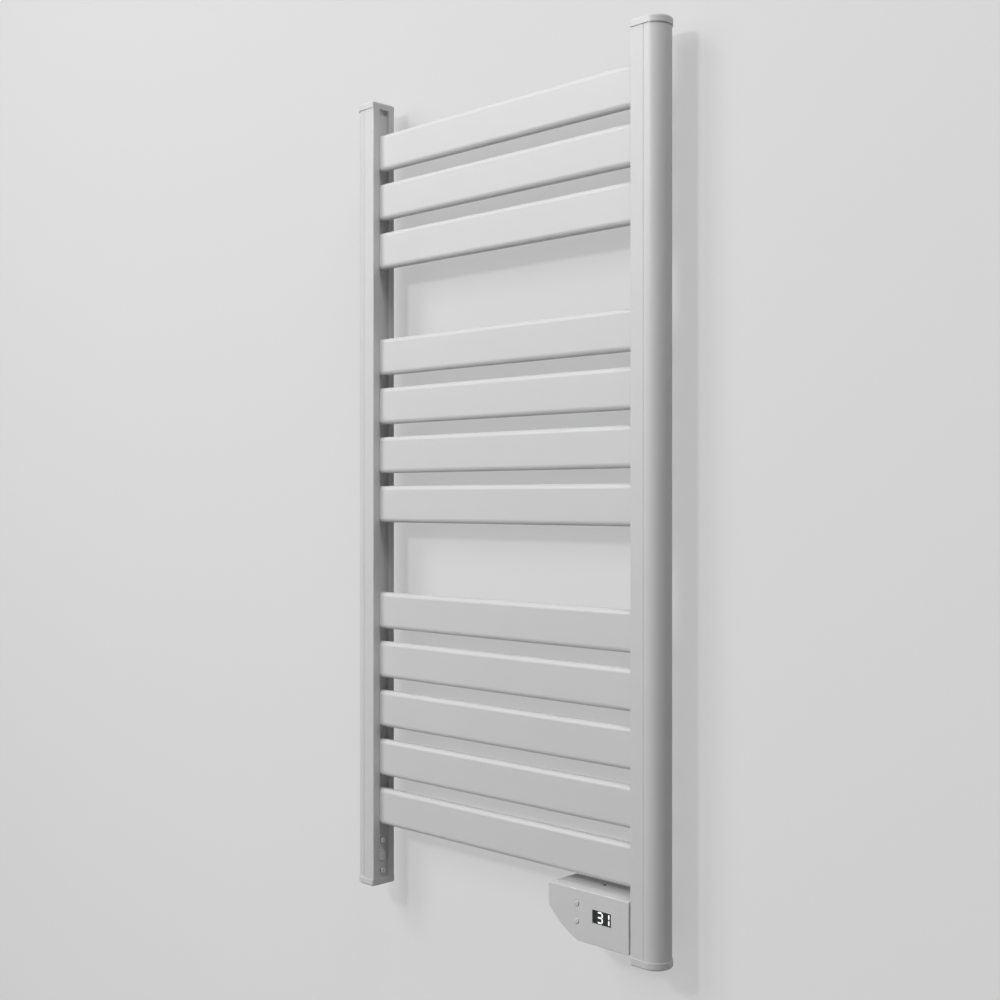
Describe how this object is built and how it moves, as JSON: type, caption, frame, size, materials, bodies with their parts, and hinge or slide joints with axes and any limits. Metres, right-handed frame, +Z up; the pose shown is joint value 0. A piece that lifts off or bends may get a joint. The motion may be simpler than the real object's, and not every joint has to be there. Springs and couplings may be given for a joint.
{
  "type": "towel radiator",
  "caption": "Wall-hung fluid-filled electric towel radiator: D-shaped posts, flat bars in groups with towel gaps, and a small digital controller on the right post.",
  "frame": {"origin": "centre of the four wall screw holes, on the wall plane", "axes": "+X to the viewer's right, +Y into the wall, +Z up"},
  "size_m": [0.48, 0.057, 0.9599],
  "materials": {
    "powder_coat": "satin white-grey powder coat",
    "cap_plastic": "satin moulded plastic in the colour of the posts",
    "bracket_coat": "satin powder coat",
    "alloy": "machined",
    "seal_rubber": "matt",
    "fibre": "pressed fibre",
    "zinc_steel": "zinc plated",
    "boss_brass": "machined",
    "element_steel": "drawn stainless steel",
    "box_plastic": "satin moulded plastic",
    "plug_plastic": "moulded plastic",
    "button_plastic": "satin moulded plastic",
    "window_black": "polished dark window",
    "module_black": "matt black digit module",
    "board_green": "solder resist",
    "black_plastic": "moulded",
    "terminal_grey": "moulded",
    "cutout_black": "moulded phenolic",
    "lead_brown": "insulation",
    "lead_blue": "insulation",
    "lead_green": "insulation"
  },
  "bodies": {
    "radiator": {"bar_01": "powder_coat", "bar_02": "powder_coat", "bar_03": "powder_coat", "bar_04": "powder_coat", "bar_05": "powder_coat", "bar_06": "powder_coat", "bar_07": "powder_coat", "bar_08": "powder_coat", "bar_09": "powder_coat", "bar_10": "powder_coat", "bar_11": "powder_coat", "bar_12": "powder_coat", "bar_end_fittings": "alloy", "bar_end_seals": "seal_rubber", "blanking_plug": "plug_plastic", "blanking_screws": "zinc_steel", "bottom_cap_left": "cap_plastic", "bottom_cap_right": "cap_plastic", "bottom_plug_left": "alloy", "bracket_grub_screws": "zinc_steel", "circuit_board": "board_green", "controller_front_cover": "box_plastic", "controller_mounting_screws": "zinc_steel", "controller_rear_housing": "box_plastic", "cover_screws": "zinc_steel", "display_module": "module_black", "display_window": "window_black", "element_boss": "boss_brass", "element_washer": "fibre", "fill_screw": "zinc_steel", "fill_washer": "fibre", "hanger_lower_left": "bracket_coat", "hanger_lower_right": "bracket_coat", "hanger_screws": "zinc_steel", "hanger_upper_left": "bracket_coat", "hanger_upper_right": "bracket_coat", "heating_element": "element_steel", "inlet_grommet": "seal_rubber", "lead_earth": "lead_green", "lead_live": "lead_brown", "lead_neutral": "lead_blue", "left_post": "powder_coat", "plug_seals": "seal_rubber", "push_switches": "black_plastic", "relay": "black_plastic", "right_post": "powder_coat", "room_sensor": "black_plastic", "slot_nuts": "zinc_steel", "terminal_block": "terminal_grey", "thermal_cutout": "cutout_black", "top_cap_left": "cap_plastic", "top_cap_right": "cap_plastic", "top_plug_left": "alloy", "top_plug_right": "alloy", "wall_cup_lower_left": "bracket_coat", "wall_cup_lower_right": "bracket_coat", "wall_cup_upper_left": "bracket_coat", "wall_cup_upper_right": "bracket_coat"},
    "up_button": {"button_up": "button_plastic"},
    "down_button": {"button_down": "button_plastic"}
  },
  "joints": [
    {"name": "button_up_press", "type": "slide", "parent": "radiator", "child": "up_button", "axis": [0, 1, 0], "range_m": [0, 0.0008], "stiffness_N_per_m": 3000},
    {"name": "button_down_press", "type": "slide", "parent": "radiator", "child": "down_button", "axis": [0, 1, 0], "range_m": [0, 0.0008], "stiffness_N_per_m": 3000}
  ]
}
